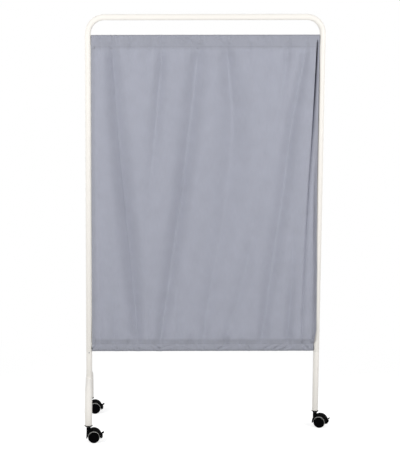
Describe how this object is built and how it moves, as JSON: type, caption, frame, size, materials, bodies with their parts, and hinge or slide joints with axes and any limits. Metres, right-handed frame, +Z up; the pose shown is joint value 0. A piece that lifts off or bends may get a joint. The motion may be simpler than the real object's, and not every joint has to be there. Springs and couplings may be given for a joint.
{
  "type": "ward privacy screen",
  "caption": "Ward privacy screen: a bent tube frame with rounded corners holds a gathered curtain on rods, above a foot bow and a straight leg on braked swivelling castors.",
  "frame": {"origin": "on the floor, below the middle of the bounding box", "axes": "+Z up, +X towards the side with the single leg, -Y towards the front"},
  "size_m": [1.0532, 0.48, 1.7598],
  "materials": {
    "coated_tube": "satin powder coat",
    "rod_tube": "satin powder coat",
    "bare_steel": "zinc plated",
    "black_plastic": "moulded, satin",
    "tread": "matt",
    "cloth": "woven, matt"
  },
  "bodies": {
    "frame": {"upper_frame": "coated_tube", "left_post_lower": "coated_tube", "right_leg": "coated_tube", "foot_arch": "coated_tube", "left_spigot": "bare_steel", "right_spigot": "bare_steel", "left_locating_pin": "bare_steel", "right_locating_pin": "bare_steel", "top_rod": "rod_tube", "bottom_rod": "rod_tube", "top_rod_left_plug": "black_plastic", "top_rod_right_plug": "black_plastic", "bottom_rod_left_plug": "black_plastic", "bottom_rod_right_plug": "black_plastic", "front_tube_insert": "black_plastic", "rear_tube_insert": "black_plastic", "right_tube_insert": "black_plastic", "curtain": "cloth", "front_castor_stem": "bare_steel", "rear_castor_stem": "bare_steel", "right_castor_stem": "bare_steel"},
    "front_castor": {"front_castor_hood": "black_plastic", "front_castor_axle": "bare_steel", "front_castor_lever_pin": "bare_steel"},
    "front_castor_near_wheel": {"front_castor_near_wheel_core": "black_plastic", "front_castor_near_wheel_tyre": "tread"},
    "front_castor_far_wheel": {"front_castor_far_wheel_core": "black_plastic", "front_castor_far_wheel_tyre": "tread"},
    "front_castor_brake_lever": {"front_castor_brake_lever": "black_plastic"},
    "rear_castor": {"rear_castor_hood": "black_plastic", "rear_castor_axle": "bare_steel", "rear_castor_lever_pin": "bare_steel"},
    "rear_castor_near_wheel": {"rear_castor_near_wheel_core": "black_plastic", "rear_castor_near_wheel_tyre": "tread"},
    "rear_castor_far_wheel": {"rear_castor_far_wheel_core": "black_plastic", "rear_castor_far_wheel_tyre": "tread"},
    "rear_castor_brake_lever": {"rear_castor_brake_lever": "black_plastic"},
    "right_castor": {"right_castor_hood": "black_plastic", "right_castor_axle": "bare_steel", "right_castor_lever_pin": "bare_steel"},
    "right_castor_near_wheel": {"right_castor_near_wheel_core": "black_plastic", "right_castor_near_wheel_tyre": "tread"},
    "right_castor_far_wheel": {"right_castor_far_wheel_core": "black_plastic", "right_castor_far_wheel_tyre": "tread"},
    "right_castor_brake_lever": {"right_castor_brake_lever": "black_plastic"}
  },
  "joints": [
    {"name": "front_castor_swivel", "type": "hinge", "parent": "frame", "child": "front_castor", "pos_m": [-0.5118, -0.215, 0.0603], "axis": [0, 0, 1], "continuous": true},
    {"name": "front_castor_near_wheel_spin", "type": "hinge", "parent": "front_castor", "child": "front_castor_near_wheel", "pos_m": [-0.4898, -0.215, 0.025], "axis": [0, 1, 0], "continuous": true},
    {"name": "front_castor_far_wheel_spin", "type": "hinge", "parent": "front_castor", "child": "front_castor_far_wheel", "pos_m": [-0.4898, -0.215, 0.025], "axis": [0, 1, 0], "continuous": true},
    {"name": "front_castor_brake_lever_press", "type": "hinge", "parent": "front_castor", "child": "front_castor_brake_lever", "pos_m": [-0.46031, -0.215, 0.0265], "axis": [0, 1, 0], "range_deg": [0, 25]},
    {"name": "rear_castor_swivel", "type": "hinge", "parent": "frame", "child": "rear_castor", "pos_m": [-0.5118, 0.215, 0.0603], "axis": [0, 0, 1], "continuous": true},
    {"name": "rear_castor_near_wheel_spin", "type": "hinge", "parent": "rear_castor", "child": "rear_castor_near_wheel", "pos_m": [-0.4898, 0.215, 0.025], "axis": [0, 1, 0], "continuous": true},
    {"name": "rear_castor_far_wheel_spin", "type": "hinge", "parent": "rear_castor", "child": "rear_castor_far_wheel", "pos_m": [-0.4898, 0.215, 0.025], "axis": [0, 1, 0], "continuous": true},
    {"name": "rear_castor_brake_lever_press", "type": "hinge", "parent": "rear_castor", "child": "rear_castor_brake_lever", "pos_m": [-0.46031, 0.215, 0.0265], "axis": [0, 1, 0], "range_deg": [0, 25]},
    {"name": "right_castor_swivel", "type": "hinge", "parent": "frame", "child": "right_castor", "pos_m": [0.4632, 0, 0.0603], "axis": [0, 0, 1], "continuous": true},
    {"name": "right_castor_near_wheel_spin", "type": "hinge", "parent": "right_castor", "child": "right_castor_near_wheel", "pos_m": [0.48387, -0.00752, 0.025], "axis": [0.342, 0.9397, 0], "continuous": true},
    {"name": "right_castor_far_wheel_spin", "type": "hinge", "parent": "right_castor", "child": "right_castor_far_wheel", "pos_m": [0.48387, -0.00752, 0.025], "axis": [0.342, 0.9397, 0], "continuous": true},
    {"name": "right_castor_brake_lever_press", "type": "hinge", "parent": "right_castor", "child": "right_castor_brake_lever", "pos_m": [0.51159, -0.01761, 0.0265], "axis": [0.342, 0.9397, 0], "range_deg": [0, 25]}
  ]
}
